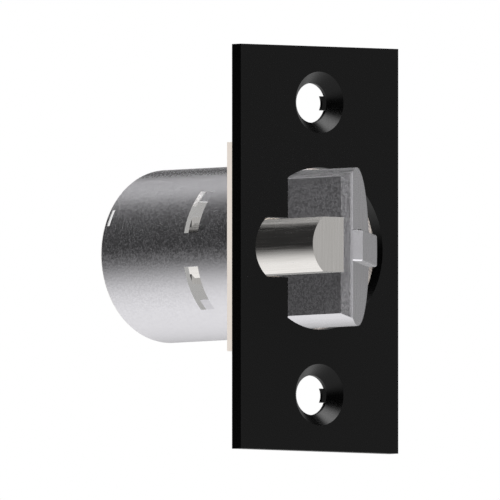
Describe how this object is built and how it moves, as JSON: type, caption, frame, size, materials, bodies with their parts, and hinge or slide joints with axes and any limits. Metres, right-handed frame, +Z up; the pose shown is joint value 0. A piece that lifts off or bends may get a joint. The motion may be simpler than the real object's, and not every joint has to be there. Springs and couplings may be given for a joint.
{
  "type": "deadlatch",
  "caption": "Door deadlatch: round tube behind a rectangular faceplate, sprung bevelled latchbolt with a deadlocking plunger beside it, T-ended tail at the rear.",
  "frame": {"origin": "centre of the faceplate's front face", "axes": "+X out of the door edge, the way the bolt points; +Y across the door's thickness, away from the plunger; +Z up"},
  "size_m": [0.0581, 0.0286, 0.0572],
  "materials": {
    "black_coat": "matt black powder coat",
    "pale_plating": "pale plated, matt",
    "tube_steel": "fine grained, zinc plated",
    "sheet_steel": "stamped sheet, zinc plated",
    "cast_bolt": "cast, grainy sides and brushed bevel",
    "polished_steel": "polished drawn bar",
    "hardened_steel": "hardened, dark",
    "rod_steel": "drawn wire",
    "spring_wire": "spring wire"
  },
  "bodies": {
    "housing": {"faceplate": "black_coat", "flange_plate": "pale_plating", "housing_tube": "tube_steel", "rear_cap": "sheet_steel", "dog_bracket": "sheet_steel", "dog_pin": "rod_steel", "bracket_rivets": "rod_steel", "latch_spring_rod": "rod_steel", "plunger_spring_rod": "rod_steel", "latch_spring": "spring_wire", "plunger_spring": "spring_wire", "dog_spring": "spring_wire"},
    "latchbolt": {"latchbolt": "cast_bolt", "tail_keeper_pins": "rod_steel"},
    "plunger": {"plunger": "polished_steel"},
    "tail": {"tailpiece": "sheet_steel"},
    "dog": {"dog": "hardened_steel"}
  },
  "joints": [
    {"name": "latchbolt_slide", "type": "slide", "parent": "housing", "child": "latchbolt", "axis": [-1, 0, 0], "range_m": [0, 0.0127], "stiffness_N_per_m": 400, "springref_m": -0.008, "deforming": ["latch_spring"]},
    {"name": "plunger_slide", "type": "slide", "parent": "housing", "child": "plunger", "axis": [-1, 0, 0], "range_m": [0, 0.0119], "stiffness_N_per_m": 200, "springref_m": -0.008, "deforming": ["plunger_spring"]},
    {"name": "tail_lost_motion", "type": "slide", "parent": "latchbolt", "child": "tail", "axis": [-1, 0, 0], "range_m": [0, 0.0015]},
    {"name": "dog_pivot", "type": "hinge", "parent": "housing", "child": "dog", "pos_m": [-0.0294, -0.0025, 0], "axis": [0, 0, -1], "range_deg": [0, 7.7]}
  ],
  "couplings": [
    {"joint": "dog_pivot", "follows": "plunger_slide", "rad_per_m": 11.29}
  ]
}
